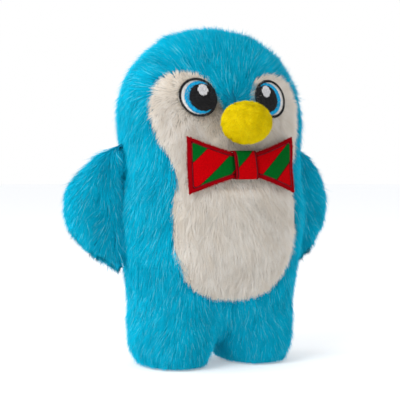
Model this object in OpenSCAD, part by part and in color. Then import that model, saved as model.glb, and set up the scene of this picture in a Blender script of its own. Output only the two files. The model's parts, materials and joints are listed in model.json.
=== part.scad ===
// Plush penguin: a stuffed body of fur fabric with two flippers, two stub legs,
// a stuffed beak, embroidered eyes and a cloth bow tie.
// Millimetres, +Z up, the face looks along -Y, and the soles stand on z = 0.

/* [Whole toy] */
// Height from the soles to the crown
total_h = 250; // [208:1:300]
// Thickness of the fur fabric with its pile laid flat
fur_t = 6; // [4:0.5:7]
// Clearance between neighbouring pieces
gap = 0.4; // [0.3:0.1:0.8]
// Clearance between the covers and the stuffing inside them
fill_gap = 1; // [0.8:0.1:1.2]

/* [Head] */
// Width of the head at its widest level
head_w = 148; // [122:1:180]
// Height of the crown above the head's widest level
crown_h = 66; // [55:1:79]
// Depth of the head in front of the side seam
head_front = 43; // [36:1:52]
// Depth of the head behind the side seam
head_back = 42; // [35:1:52]

/* [Neck] */
// Height of the head's widest level above the neck
cheek_h = 36; // [30:1:44]
// Width of the body at the neck
neck_w = 138; // [115:1:166]

/* [Belly] */
// Width of the belly at its widest level
belly_w = 146; // [122:1:176]
// Depth of the belly in front of the side seam
belly_front = 56; // [47:1:68]
// Depth of the belly behind the side seam
belly_back = 50; // [42:1:60]

/* [Hips] */
// Width of the body at the hips
hip_w = 134; // [112:1:161]
// Height of the hips above the floor
hip_z = 66; // [56:1:79]
// Height of the seat, the lowest point of the body between the legs
seat_z = 20; // [12:1:24]

/* [White front] */
// Width of the white face across both eyes
face_w = 124; // [104:1:130]
// Height of the white face's top above the head's widest level
brow_h = 33; // [28:1:39]
// Depth of the blue peak's tip below the head's widest level
peak_drop = 2; // [0:1:5]
// Width of the blue peak between the eyes
peak_w = 25; // [22:1:28]
// Width of the white bib at the neck
bib_neck_w = 97; // [81:1:110]
// Width of the white bib on the belly
bib_w = 103; // [86:1:120]
// Height of the white bib's bottom edge above the floor
bib_z = 51; // [41:1:58]

/* [Flippers] */
// Height of the flipper along its seam
flipper_h = 92; // [77:1:110]
// Length of the flipper from its seam to its tip
flipper_l = 41; // [34:1:49]
// Thickness of the flipper at its middle
flipper_t = 28; // [24:1:33]
// Depth of the flipper's middle below the neck
flipper_drop = 30; // [25:1:36]
// Angle by which the flipper is swept back at rest
flipper_sweep = 33; // [27:1:40]

/* [Legs] */
// Width of one leg
leg_w = 62; // [52:1:66]
// Depth of one leg from front to back
leg_d = 80; // [67:1:92]
// Space between the two legs
leg_gap = 4; // [3:0.5:8]
// Height over which the leg rounds in to its sole
leg_round = 22; // [18:1:26]
// Width that the rounding takes off each side of the sole
sole_inset = 11; // [9:0.5:13]
// Thickness of the sole
sole_t = 3; // [2.5:0.5:4]

/* [Beak] */
// Width of the beak
beak_w = 38; // [32:1:45]
// Height of the beak
beak_h = 31; // [26:1:37]
// Length of the whole egg that the beak is cut from
beak_l = 35; // [29:1:42]
// Length by which the beak's middle stands off the face
beak_out = 9; // [7:0.5:11]
// Depth of the beak's middle below the head's widest level
beak_drop = 6; // [3:1:9]
// Thickness of the beak's short plush
beak_plush_t = 1.5; // [1.2:0.1:2]

/* [Eyes] */
// Diameter of an eye over its black outline
eye_d = 28; // [23:0.5:33]
// Distance between the middles of the eyes
eye_spacing = 59; // [50:1:70]
// Height of the eyes above the head's widest level
eye_rise = 12; // [8:1:15]
// Width of the black outline
eye_line_w = 1.5; // [1.2:0.1:2]
// Diameter of the blue iris
iris_d = 23.5; // [19:0.5:24]
// Distance of the iris towards the beak
iris_in = 2; // [1:0.1:2.4]
// Diameter of the black pupil
pupil_d = 20; // [16.5:0.5:20.5]
// Distance of the pupil towards the beak
pupil_in = 3.6; // [2.5:0.1:3.8]
// Diameter of the pale highlight
shine_d = 8; // [6.5:0.5:9.5]
// Height of the highlight above the eye's middle
shine_rise = 5.4; // [4:0.1:6]
// Thickness of one layer of embroidery
thread_t = 0.6; // [0.5:0.1:0.8]

/* [Bow tie] */
// Width of the bow tie
bow_w = 85; // [71:1:102]
// Height of the bow tie at its ends
bow_end_h = 40; // [34:1:48]
// Height of the flaps beside the knot
bow_waist_h = 18; // [15:1:22]
// Width of the knot
knot_w = 16; // [13:0.5:19]
// Height of the knot
knot_h = 19; // [16:0.5:23]
// Height of the knot's middle above the neck
bow_rise = 0; // [-3:1:5]
// Thickness of one layer of the bow tie's cloth
cloth_t = 1.2; // [1:0.1:1.4]
// Distance of the border stitching from the cloth's edge
stitch_inset = 3; // [2.5:0.1:3.6]
// Width of the border stitching
stitch_w = 1; // [0.8:0.1:1.2]

/* [Hidden] */

fur_blue = [0, 0.62, 0.78];
fur_white = [0.9, 0.88, 0.84];
plush_yellow = [0.95, 0.83, 0];
cloth_red = [0.72, 0.02, 0.04];
thread_red = [0.45, 0, 0.04];
stuffing_white = [0.95, 0.95, 0.93];

head_z = total_h - crown_h;
neck_z = head_z - cheek_h;
belly_z = hip_z + (neck_z - hip_z) * 0.52;
mid_z = total_h / 2;

crown_round = 2.1;
seat_round = 2;
puff = 2.2;
solve_steps = 22;

// A soft step from a to b as t goes from 0 to 1
function blend(a, b, t) = a + (b - a) * (1 - cos(180 * min(1, max(0, t)))) / 2;

// The rest of a rounded side: 1 at t = 0 and 0 at t = 1
function rounding(t, power) = t >= 1 ? 0 : pow(1 - pow(max(0, t), power), 1 / power);

// Half the body's width at a height
function half_width(z) =
    z >= head_z ? head_w / 2 * rounding((z - head_z) / crown_h, crown_round)
    : z >= neck_z ? blend(neck_w, head_w, (z - neck_z) / cheek_h) / 2
    : z >= belly_z ? blend(belly_w, neck_w, (z - belly_z) / (neck_z - belly_z)) / 2
    : z >= hip_z ? blend(hip_w, belly_w, (z - hip_z) / (belly_z - hip_z)) / 2
    : hip_w / 2 * rounding((hip_z - z) / (hip_z - seat_z), seat_round);

// The body's outline seen from the front, as a radius from its middle at an angle from straight up
function outline_radius(angle, low = 0, high = total_h, steps = solve_steps) =
    let (r = (low + high) / 2)
    steps == 0 ? r
    : abs(r * sin(angle)) < half_width(mid_z + r * cos(angle))
        ? outline_radius(angle, r, high, steps - 1)
        : outline_radius(angle, low, r, steps - 1);

head_share = rounding((head_z - mid_z) / outline_radius(0), puff);

// The depth that the surface would have with no rounding, in front (side -1) or behind (side 1)
function full_depth(z, side) = side < 0
    ? blend(belly_front, head_front / head_share, (z - belly_z) / (head_z - belly_z))
    : blend(belly_back, head_back / head_share, (z - belly_z) / (head_z - belly_z));

// How far the surface stands from the seam plane at x, z, grown outwards by a margin
function surface_depth(x, z, side, margin = 0) =
    let (r = norm([x, z - mid_z]))
    let (edge = outline_radius(r == 0 ? 0 : atan2(x, z - mid_z)) + margin)
    (full_depth(z, side) + margin) * rounding(r / edge, puff);

// The front-most stretch of the face that the beak sits on
beak_z = head_z - beak_drop;
beak_seat = max([for (f = [-0.5:0.25:0.5]) surface_depth(0, beak_z + f * beak_h, -1)]) + gap;
front_reach = beak_seat + beak_out + beak_l / 2;

// The side seam's plane, placed so that the origin is under the middle of the whole toy
seam_y = (front_reach - belly_back) / 2;

ray_fine = [0, 3, 6, 7.5, 9, 11, 14, 17, 20, 24, 28];
ray_count = 20;
half_rays = concat(
    [for (angle = ray_fine) angle],
    [for (k = [0:ray_count]) 32 + k * (180 - 32) / ray_count]
);
right_rays = [for (angle = half_rays) -angle];
all_rays = concat(half_rays, [for (k = [len(half_rays) - 2:-1:1]) 360 - half_rays[k]]);

// One point of the body's shell, at a ray, a share of the way out, and a depth under the surface
function shell_point(angle, share, inset, side) =
    let (r = share * (outline_radius(angle) - inset))
    let (z = mid_z + r * cos(angle))
    let (depth = (full_depth(z, side) - inset) * rounding(share, puff))
    [r * sin(angle), seam_y + side * max(gap / 2, depth), z];

// The white front's edge from the blue peak down to the bottom of the bib, as x, z
white_edge = [
    [0, head_z - peak_drop],
    [peak_w * 0.32, head_z + brow_h * 0.12],
    [peak_w * 0.48, head_z + brow_h * 0.42],
    [peak_w * 0.64, head_z + brow_h * 0.73],
    [face_w * 0.2, head_z + brow_h * 0.93],
    [face_w * 0.28, head_z + brow_h],
    [face_w * 0.36, head_z + brow_h * 0.96],
    [face_w * 0.42, head_z + brow_h * 0.86],
    [face_w * 0.485, head_z + brow_h * 0.5],
    [face_w * 0.5, head_z],
    [face_w * 0.46, head_z - cheek_h * 0.48],
    [bib_neck_w / 2, neck_z + 2],
    [bib_neck_w / 2, neck_z - 12],
    [bib_w / 2, belly_z],
    [bib_w / 2, bib_z + 50],
    [bib_w * 0.46, bib_z + 28],
    [bib_w * 0.36, bib_z + 11],
    [bib_w * 0.2, bib_z + 2],
    [0, bib_z]
];
white_polar = [for (p = white_edge) [p[0] == 0 && p[1] < mid_z ? 180 : atan2(p[0], p[1] - mid_z),
                                     norm([p[0], p[1] - mid_z])]];

// The white edge's radius at a ray, as a share of the outline's
function white_share(angle) =
    let (a = abs(angle > 180 ? angle - 360 : angle))
    min(0.97, lookup(a, white_polar) / outline_radius(a));

// ---- solids from rows of points ----

function cell(a, b, c, d) = [[a, b, d], [a, d, c]];
function turned(faces) = [for (f = faces) [f[2], f[1], f[0]]];
function shifted(faces, by) = [for (f = faces) [for (v = f) v + by]];
function joined(lists) = [for (l = lists) each l];

// The triangles of a grid of points, row by row
function grid_faces(rows, n, wrap) = joined([
    for (r = [0:rows - 2], c = [0:(wrap ? n : n - 1) - 1])
        let (next = (c + 1) % n)
        cell(r * n + c, r * n + next, (r + 1) * n + c, (r + 1) * n + next)
]);

// The wall that joins one edge of a sheet to the same edge of its other face
function edge_wall(edge, by) = joined([
    for (k = [0:len(edge) - 2])
        [[edge[k + 1], edge[k], edge[k] + by], [edge[k + 1], edge[k] + by, edge[k + 1] + by]]
]);

// A thick sheet between two faces; wrap closes its columns into a ring
module thick_sheet(outer, inner, wrap = false, flip = false) {
    rows = len(outer);
    n = len(outer[0]);
    by = rows * n;
    skin = grid_faces(rows, n, wrap);
    last = wrap ? n : n - 1;
    first_row = [for (c = [0:last]) c % n];
    last_row = [for (c = [last:-1:0]) (rows - 1) * n + c % n];
    first_column = [for (r = [rows - 1:-1:0]) r * n];
    last_column = [for (r = [0:rows - 1]) r * n + n - 1];
    faces = concat(
        skin,
        shifted(turned(skin), by),
        edge_wall(first_row, by),
        edge_wall(last_row, by),
        wrap ? [] : edge_wall(first_column, by),
        wrap ? [] : edge_wall(last_column, by)
    );
    polyhedron(joined(concat(outer, inner)), flip ? faces : turned(faces), convexity = 6);
}

// A thick disc: each face is a middle point and rings of points around it
module thick_disc(outer_mid, outer, inner_mid, inner, flip = false) {
    rows = len(outer);
    n = len(outer[0]);
    by = rows * n;
    skin = grid_faces(rows, n, true);
    fan = [for (c = [0:n - 1]) [(c + 1) % n, c, 2 * by]];
    inner_fan = [for (c = [0:n - 1]) [by + c, by + (c + 1) % n, 2 * by + 1]];
    rim = [for (c = [n:-1:0]) (rows - 1) * n + c % n];
    faces = concat(skin, fan, shifted(turned(skin), by), inner_fan, edge_wall(rim, by));
    points = concat(joined(concat(outer, inner)), [outer_mid, inner_mid]);
    polyhedron(points, flip ? faces : turned(faces), convexity = 6);
}

// A closed solid between two poles, with rings of points between them
module globe(pole_a, rings, pole_b, flip = false) {
    rows = len(rings);
    n = len(rings[0]);
    top = (rows - 1) * n;
    faces = concat(
        grid_faces(rows, n, true),
        [for (c = [0:n - 1]) [(c + 1) % n, c, rows * n]],
        [for (c = [0:n - 1]) [top + c, top + (c + 1) % n, rows * n + 1]]
    );
    points = concat(joined(rings), [pole_a, pole_b]);
    polyhedron(points, flip ? faces : turned(faces), convexity = 6);
}

// ---- body ----

white_rings = [0.25, 0.5, 0.72, 0.88, 1];
blue_rings = 6;
back_rings = [0.24, 0.46, 0.65, 0.8, 0.9, 0.965, 1];

module white_front_panel() {
    color(fur_white)
        thick_disc(
            shell_point(0, 0, 0, -1),
            [for (f = white_rings) [for (a = all_rays) shell_point(a, f * white_share(a), 0, -1)]],
            shell_point(0, 0, fur_t, -1),
            [for (f = white_rings) [for (a = all_rays) shell_point(a, f * white_share(a), fur_t, -1)]]
        );
}

// The blue front on one side, from the white edge out to the side seam
module side_front_panel(rays, flip) {
    share = function (a, f)
        let (from = white_share(a) + gap / outline_radius(a))
        sin(asin(from) + (90 - asin(from)) * f / blue_rings);
    edge_off = sign(rays[1]) * gap / 2;
    points = function (inset) [
        for (f = [0:blue_rings])
            [for (a = rays)
                let (p = shell_point(a, share(a, f), inset, -1))
                [abs(p[0]) < gap / 2 ? edge_off : p[0], p[1], p[2]]]
    ];
    color(fur_blue)
        thick_sheet(points(0), points(fur_t), false, flip);
}

module right_front_panel() {
    side_front_panel(right_rays, true);
}

module left_front_panel() {
    side_front_panel(half_rays, false);
}

module back_panel() {
    color(fur_blue)
        thick_disc(
            shell_point(0, 0, 0, 1),
            [for (f = back_rings) [for (a = all_rays) shell_point(a, f, 0, 1)]],
            shell_point(0, 0, fur_t, 1),
            [for (f = back_rings) [for (a = all_rays) shell_point(a, f, fur_t, 1)]],
            true
        );
}

module body_stuffing() {
    inset = fur_t + fill_gap;
    rings = [0.2, 0.4, 0.6, 0.76, 0.88, 0.95];
    rim = [for (a = all_rays) let (p = shell_point(a, 1, inset, -1)) [p[0], seam_y, p[2]]];
    color(stuffing_white)
        globe(
            shell_point(0, 0, inset, -1),
            concat(
                [for (f = rings) [for (a = all_rays) shell_point(a, f, inset, -1)]],
                [rim],
                [for (k = [len(rings) - 1:-1:0]) [for (a = all_rays) shell_point(a, rings[k], inset, 1)]]
            ),
            shell_point(0, 0, inset, 1)
        );
}

// ---- legs ----

leg_x = (leg_w + leg_gap) / 2;
leg_margin = 1.6;
leg_sides = 28;
leg_rows = 7;
roof_steps = 14;

// True inside the body grown by a margin
function in_body(x, y, z, margin) =
    abs(y) < surface_depth(x, z, y < 0 ? -1 : 1, margin);

// The height at which a vertical line at x, y meets the underside of the body
function roof_z(x, y, low = 0, high = mid_z, steps = roof_steps) =
    let (z = (low + high) / 2)
    steps == 0 ? low
    : in_body(x, y, z, leg_margin) ? roof_z(x, y, low, z, steps - 1)
        : roof_z(x, y, z, high, steps - 1);

// How much narrower the leg is on each side at a height
function leg_inset(z) =
    z >= leg_round ? 0 : sole_inset * (1 - rounding(1 - z / leg_round, 2));

function leg_plan(turn, z, inset, share) = [
    leg_x + share * (leg_w / 2 - leg_inset(z) - inset) * cos(turn),
    share * (leg_d / 2 - leg_inset(z) - inset) * sin(turn)
];

// One point up the leg's side, f being 0 at the sole and 1 under the body
function leg_point(turn, f, inset) =
    let (base = sole_t + gap)
    let (top = leg_plan(turn, leg_round, inset, 1))
    let (high = roof_z(top[0], top[1]))
    let (z = base + (high - base) * pow(f, 1.4))
    let (p = leg_plan(turn, z, inset, 1))
    [p[0], seam_y + p[1], z];

leg_turns = [for (k = [0:leg_sides - 1]) 360 * k / leg_sides];

module one_leg_cover() {
    color(fur_blue)
        thick_sheet(
            [for (f = [0:leg_rows]) [for (t = leg_turns) leg_point(t, f / leg_rows, 0)]],
            [for (f = [0:leg_rows]) [for (t = leg_turns) leg_point(t, f / leg_rows, fur_t)]],
            true
        );
}

module one_leg_stuffing() {
    inset = fur_t + fill_gap;
    base = sole_t + gap;
    roof = function (turn, share)
        let (p = leg_plan(turn, leg_round, inset, share))
        [p[0], seam_y + p[1], roof_z(p[0], p[1])];
    color(stuffing_white)
        globe(
            [leg_x, seam_y, base],
            concat(
                [for (f = [0:leg_rows]) [for (t = leg_turns) leg_point(t, f / leg_rows, inset)]],
                [for (share = [0.7, 0.35]) [for (t = leg_turns) roof(t, share)]]
            ),
            roof(0, 0)
        );
}

module one_sole() {
    long = leg_d / 2 - sole_inset;
    wide = leg_w / 2 - sole_inset;
    color(fur_blue)
        translate([leg_x, seam_y, 0])
            linear_extrude(sole_t)
                polygon([for (t = leg_turns) [wide * cos(t), long * sin(t)]]);
}

module right_leg_cover() {
    mirror([1, 0, 0])
        one_leg_cover();
}

module left_leg_cover() {
    one_leg_cover();
}

module right_leg_stuffing() {
    mirror([1, 0, 0])
        one_leg_stuffing();
}

module left_leg_stuffing() {
    one_leg_stuffing();
}

module right_sole() {
    mirror([1, 0, 0])
        one_sole();
}

module left_sole() {
    one_sole();
}

// ---- flippers ----

flipper_z = neck_z - flipper_drop;
root_clear = 1;
// The hinge line stands just outside the widest part of the side seam beside the flipper
hinge_x = max([for (k = [0:12]) half_width(flipper_z + flipper_h * (k / 12 - 0.5))]) + root_clear;
pinch_slope = 0.62;
seam_edge_t = 0.6;

// The flipper's outline around its own middle, as distance from the seam and height
flipper_mid = [flipper_l * 0.42, -flipper_h * 0.02];
flipper_edge = [
    [0, flipper_h * 0.5],
    [flipper_l * 0.22, flipper_h * 0.485],
    [flipper_l * 0.6, flipper_h * 0.34],
    [flipper_l * 0.92, flipper_h * 0.17],
    [flipper_l, 0],
    [flipper_l * 0.95, -flipper_h * 0.15],
    [flipper_l * 0.74, -flipper_h * 0.28],
    [flipper_l * 0.4, -flipper_h * 0.42],
    [flipper_l * 0.15, -flipper_h * 0.49],
    [0, -flipper_h * 0.5],
    [0, -flipper_h * 0.33],
    [0, -flipper_h * 0.16],
    [0, 0],
    [0, flipper_h * 0.17],
    [0, flipper_h * 0.34]
];
flipper_steps = 2;

// The outline with points added along a smooth curve between the given ones
function curve_point(before, a, b, after, t) =
    let (bend = 2 * before - 5 * a + 4 * b - after)
    let (twist = 3 * (a - b) + after - before)
    a + 0.5 * t * (b - before + t * (bend + t * twist));
flipper_outline = [
    for (k = [0:len(flipper_edge) - 1], t = [0:flipper_steps - 1])
        let (n = len(flipper_edge))
        let (p = curve_point(
            flipper_edge[(k + n - 1) % n], flipper_edge[k],
            flipper_edge[(k + 1) % n], flipper_edge[(k + 2) % n], t / flipper_steps))
        [max(0, p[0]), p[1]]
];

// A point of the flipper's plane, a share of the way from its middle to its outline
function flipper_plan(k, share) = flipper_mid + share * (flipper_outline[k] - flipper_mid);

// Half the thickness of the flipper, pinched towards the seam
function flipper_half(p, share) = min(flipper_t / 2 * rounding(share, puff), pinch_slope * p[0]);

// Places a flipper point, with w as its distance from the flipper's middle plane
function flipper_place(p, w) = [
    hinge_x + p[0] * cos(flipper_sweep) - w * sin(flipper_sweep),
    seam_y + p[0] * sin(flipper_sweep) + w * cos(flipper_sweep),
    flipper_z + p[1]
];

stuffing_rings = [0.35, 0.65, 0.8];
stuffing_rim = 0.85;
flipper_rings = concat(stuffing_rings, [0.93, 1]);
flipper_fur_t = fur_t * 0.75;
stuffing_least = 0.4;
flipper_fill_gap = 0.9 * fill_gap;

// Half the hollow between the flipper's two covers
function flipper_hollow(p, share) =
    share > stuffing_rim ? gap / 2
    : max(stuffing_least + flipper_fill_gap, flipper_half(p, share) - flipper_fur_t);

module one_flipper_cover(side, flip) {
    ks = [0:len(flipper_outline) - 1];
    outer = function (k, share)
        let (p = flipper_plan(k, share))
        flipper_place(p, side * max(gap / 2 + seam_edge_t, flipper_half(p, share)));
    inner = function (k, share)
        let (p = flipper_plan(k, share))
        flipper_place(p, side * flipper_hollow(p, share));
    color(fur_blue)
        thick_disc(
            outer(0, 0),
            [for (f = flipper_rings) [for (k = ks) outer(k, f)]],
            inner(0, 0),
            [for (f = flipper_rings) [for (k = ks) inner(k, f)]],
            flip
        );
}

module one_flipper_stuffing() {
    ks = [0:len(flipper_outline) - 1];
    point = function (k, share, side)
        let (p = flipper_plan(k, share))
        flipper_place(p, side * (flipper_hollow(p, share) - flipper_fill_gap));
    color(stuffing_white)
        globe(
            point(0, 0, -1),
            concat(
                [for (f = stuffing_rings) [for (k = ks) point(k, f, -1)]],
                [[for (k = ks) flipper_place(flipper_plan(k, stuffing_rim), 0)]],
                [for (j = [len(stuffing_rings) - 1:-1:0]) [for (k = ks) point(k, stuffing_rings[j], 1)]]
            ),
            point(0, 0, 1)
        );
}

module right_flipper_front() {
    mirror([1, 0, 0])
        one_flipper_cover(-1, false);
}

module right_flipper_back() {
    mirror([1, 0, 0])
        one_flipper_cover(1, true);
}

module right_flipper_stuffing() {
    mirror([1, 0, 0])
        one_flipper_stuffing();
}

module left_flipper_front() {
    one_flipper_cover(-1, false);
}

module left_flipper_back() {
    one_flipper_cover(1, true);
}

module left_flipper_stuffing() {
    one_flipper_stuffing();
}

// ---- beak ----

beak_y = seam_y - beak_seat - beak_out;

beak_sides = 32;
beak_rings = 8;
beak_taper = 0.12;
beak_turns = [for (k = [0:beak_sides - 1]) 360 * k / beak_sides];

// A ring around the egg, f being 0 at its tip and 1 at a plane just in front of the face
function beak_ring(f, inset) =
    let (long = beak_l / 2 - inset)
    let (tilt = f * acos((inset - beak_out) / long))
    let (out = sin(tilt) * (1 - beak_taper * cos(tilt)))
    [for (t = beak_turns) [
        out * (beak_w / 2 - inset) * sin(t),
        beak_y - long * cos(tilt),
        beak_z + out * (beak_h / 2 - inset) * cos(t)
    ]];

function beak_tip(inset) = [0, beak_y - beak_l / 2 + inset, beak_z];

module beak_cover() {
    color(plush_yellow)
        thick_disc(
            beak_tip(0),
            [for (k = [1:beak_rings]) beak_ring(k / beak_rings, 0)],
            beak_tip(beak_plush_t),
            [for (k = [1:beak_rings]) beak_ring(k / beak_rings, beak_plush_t)]
        );
}

module beak_stuffing() {
    inset = beak_plush_t + gap / 2;
    color(stuffing_white)
        globe(
            beak_tip(inset),
            [for (k = [1:beak_rings]) beak_ring(k / beak_rings, inset)],
            [0, seam_y - beak_seat - inset, beak_z]
        );
}

// ---- eyes ----

eye_z = head_z + eye_rise;
eye_sides = 28;

// A point on the face, raised off it
function face_point(x, z, raise) = [x, seam_y - surface_depth(x, z, -1) - raise, z];

// How far off the face a layer of thread starts
function level_height(level) = gap + level * (thread_t + gap / 2);

// A round patch of thread on the face
module thread_disc(x, z, d, level, tint) {
    low = level_height(level);
    turns = [for (k = [0:eye_sides - 1]) 360 * k / eye_sides];
    ring = function (share, raise)
        [for (t = turns) face_point(x + share * d / 2 * sin(t), z + share * d / 2 * cos(t), raise)];
    color(tint)
        thick_disc(
            face_point(x, z, low + thread_t),
            [for (f = [0.5, 1]) ring(f, low + thread_t)],
            face_point(x, z, low),
            [for (f = [0.5, 1]) ring(f, low)]
        );
}

module eye_white() {
    thread_disc(eye_spacing / 2, eye_z, eye_d, 0, fur_white);
}

module eye_outline() {
    low = level_height(2);
    turns = [for (k = [0:eye_sides - 1]) 360 * k / eye_sides];
    ring = function (r, raise)
        [for (t = turns) face_point(eye_spacing / 2 + r * sin(t), eye_z + r * cos(t), raise)];
    radii = [eye_d / 2 - eye_line_w, eye_d / 2];
    color("black")
        thick_sheet(
            [for (r = radii) ring(r, low + thread_t)],
            [for (r = radii) ring(r, low)],
            true
        );
}

module eye_iris() {
    thread_disc(eye_spacing / 2 - iris_in, eye_z, iris_d, 1, [0.1, 0.55, 0.8]);
}

module eye_pupil() {
    thread_disc(eye_spacing / 2 - pupil_in, eye_z, pupil_d, 3, "black");
}

module eye_shine() {
    thread_disc(eye_spacing / 2 - pupil_in, eye_z + shine_rise, shine_d, 4, "lightgray");
}

module right_eye_white() {
    mirror([1, 0, 0])
        eye_white();
}

module right_eye_outline() {
    mirror([1, 0, 0])
        eye_outline();
}

module right_eye_iris() {
    mirror([1, 0, 0])
        eye_iris();
}

module right_eye_pupil() {
    mirror([1, 0, 0])
        eye_pupil();
}

module right_eye_shine() {
    mirror([1, 0, 0])
        eye_shine();
}

module left_eye_white() {
    eye_white();
}

module left_eye_outline() {
    eye_outline();
}

module left_eye_iris() {
    eye_iris();
}

module left_eye_pupil() {
    eye_pupil();
}

module left_eye_shine() {
    eye_shine();
}

// ---- bow tie ----

bow_z = neck_z + bow_rise;
knot_clear = 2.2;
flap_x = knot_w / 2 + knot_clear;
flap_columns = 10;
flap_rows = 8;
bow_off = 1.2;

// Half the flap's height at a distance from the middle of the bow tie
function flap_half(x) =
    let (t = (x - flap_x) / (bow_w / 2 - flap_x))
    (bow_waist_h + (bow_end_h - bow_waist_h) * pow(max(0, t), 1.15)) / 2;

function flap_point(x, v, raise) = face_point(x, bow_z + v * flap_half(x), bow_off + raise);

// One layer of a flap, inset from the flap's edge, between two distances off the body
module flap_layer(low, high, tint) {
    at_x = function (c) flap_x + (bow_w / 2 - flap_x) * c / flap_columns;
    rows = function (raise) [
        for (r = [0:flap_rows])
            [for (c = [0:flap_columns]) flap_point(at_x(c), 2 * r / flap_rows - 1, raise)]
    ];
    color(tint)
        thick_sheet(rows(high), rows(low));
}

// The line of stitching along three edges of a flap, from the knot round the end and back
module flap_stitching() {
    low = 2 * cloth_t + gap;
    high = low + thread_t;
    end = bow_w / 2 - stitch_inset;
    start = flap_x + stitch_w;
    at_x = function (c) start + (end - start) * c / flap_columns;
    path = concat(
        [for (c = [0:flap_columns - 1]) [at_x(c), -1]],
        [for (r = [0:flap_rows]) [end, 2 * r / flap_rows - 1]],
        [for (c = [flap_columns - 1:-1:0]) [at_x(c), 1]]
    );
    line = function (shift, raise)
        [for (p = path)
            let (x = p[0] - (p[0] == end ? shift : 0))
            let (z = bow_z + p[1] * (flap_half(p[0]) - stitch_inset - shift))
            face_point(x, z, bow_off + raise)];
    color(thread_red)
        thick_sheet(
            [line(0, high), line(stitch_w, high)],
            [line(0, low), line(stitch_w, low)]
        );
}

module flap_cloth() {
    flap_layer(cloth_t + gap / 2, 2 * cloth_t + gap / 2, cloth_red);
}

module flap_backing() {
    flap_layer(0, cloth_t, thread_red);
}

module knot_layer(low, high, tint) {
    columns = 4;
    rows = function (raise) [
        for (v = [-1, 0, 1])
            [for (c = [0:columns])
                face_point(knot_w * (c / columns - 0.5), bow_z + v * knot_h / 2, bow_off + raise)]
    ];
    color(tint)
        thick_sheet(rows(high), rows(low));
}

module bow_right_cloth() {
    mirror([1, 0, 0])
        flap_cloth();
}

module bow_right_backing() {
    mirror([1, 0, 0])
        flap_backing();
}

module bow_right_stitching() {
    mirror([1, 0, 0])
        flap_stitching();
}

module bow_left_cloth() {
    flap_cloth();
}

module bow_left_backing() {
    flap_backing();
}

module bow_left_stitching() {
    flap_stitching();
}

module bow_knot_cloth() {
    knot_layer(cloth_t + gap / 2, 2 * cloth_t + gap / 2, cloth_red);
}

module bow_knot_backing() {
    knot_layer(0, cloth_t, thread_red);
}

// Two upright lines of stitching, one beside each end of the knot
module bow_knot_stitching() {
    low = 2 * cloth_t + gap;
    high = low + thread_t;
    line = function (x, raise)
        [for (v = [-1:0.5:1]) face_point(x, bow_z + v * knot_h / 2, bow_off + raise)];
    color(thread_red)
        for (side = [-1, 1]) {
            x = side * (knot_w / 2 - stitch_w);
            thick_sheet(
                [line(x - stitch_w / 2, high), line(x + stitch_w / 2, high)],
                [line(x - stitch_w / 2, low), line(x + stitch_w / 2, low)],
                false, true
            );
        }
}

white_front_panel();
right_front_panel();
left_front_panel();
back_panel();
body_stuffing();
right_leg_cover();
left_leg_cover();
right_leg_stuffing();
left_leg_stuffing();
right_sole();
left_sole();
right_flipper_front();
right_flipper_back();
right_flipper_stuffing();
left_flipper_front();
left_flipper_back();
left_flipper_stuffing();
beak_cover();
beak_stuffing();
right_eye_white();
right_eye_outline();
right_eye_iris();
right_eye_pupil();
right_eye_shine();
left_eye_white();
left_eye_outline();
left_eye_iris();
left_eye_pupil();
left_eye_shine();
bow_right_cloth();
bow_right_backing();
bow_right_stitching();
bow_left_cloth();
bow_left_backing();
bow_left_stitching();
bow_knot_cloth();
bow_knot_backing();
bow_knot_stitching();
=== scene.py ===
import bmesh
import bpy
import json
import math
import numpy as np
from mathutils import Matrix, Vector
from mathutils.bvhtree import BVHTree


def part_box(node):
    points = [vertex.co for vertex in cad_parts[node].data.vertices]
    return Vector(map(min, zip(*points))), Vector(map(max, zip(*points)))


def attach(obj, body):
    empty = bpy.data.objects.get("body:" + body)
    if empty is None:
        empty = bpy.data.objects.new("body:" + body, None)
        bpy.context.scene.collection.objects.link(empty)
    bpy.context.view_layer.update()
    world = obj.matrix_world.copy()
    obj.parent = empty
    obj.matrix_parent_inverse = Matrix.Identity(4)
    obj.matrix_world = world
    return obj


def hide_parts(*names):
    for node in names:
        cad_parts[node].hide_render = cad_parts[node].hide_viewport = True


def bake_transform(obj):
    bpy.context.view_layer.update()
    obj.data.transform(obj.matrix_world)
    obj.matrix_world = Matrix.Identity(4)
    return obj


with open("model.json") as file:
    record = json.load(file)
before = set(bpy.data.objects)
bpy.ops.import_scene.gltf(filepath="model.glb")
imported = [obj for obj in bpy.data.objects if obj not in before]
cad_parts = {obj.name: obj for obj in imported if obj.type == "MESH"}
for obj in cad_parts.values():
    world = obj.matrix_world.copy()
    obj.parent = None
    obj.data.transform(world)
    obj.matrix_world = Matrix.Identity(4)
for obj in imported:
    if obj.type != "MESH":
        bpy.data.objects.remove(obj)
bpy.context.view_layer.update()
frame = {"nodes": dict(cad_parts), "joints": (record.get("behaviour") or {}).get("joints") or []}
print("frame loaded,", len(frame["nodes"]), "nodes")

mm = 0.001
joints = {joint["name"]: joint for joint in frame["joints"]}
seamY = joints["right_flipper_swing"]["pos_m"][1]  # the plane of the side seam
floorZ = 0.0


# camera, lights and floor

studio = {
    "azimuth": -27, "elevation": 2, "distance": 0.95, "aim": (-6.8 * mm, 3.5 * mm, 121.5 * mm),
    "frameWidth": 299 * mm, "sensor": 36.0,
    "keyPower": 17.5, "keySize": 1.1, "keyPlace": (-1.35, -0.75, 1.15),
    "fillPower": 0.5, "fillSize": 1.6, "fillPlace": (1.3, -0.7, 0.5),
    "rimPower": 8.0, "rimSize": 1.0, "rimPlace": (-1.5, 0.7, 0.7),
    "sky": (0.95, 0.97, 1.0), "skyStrength": 0.74, "floorGlow": 0.32,
}


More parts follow.
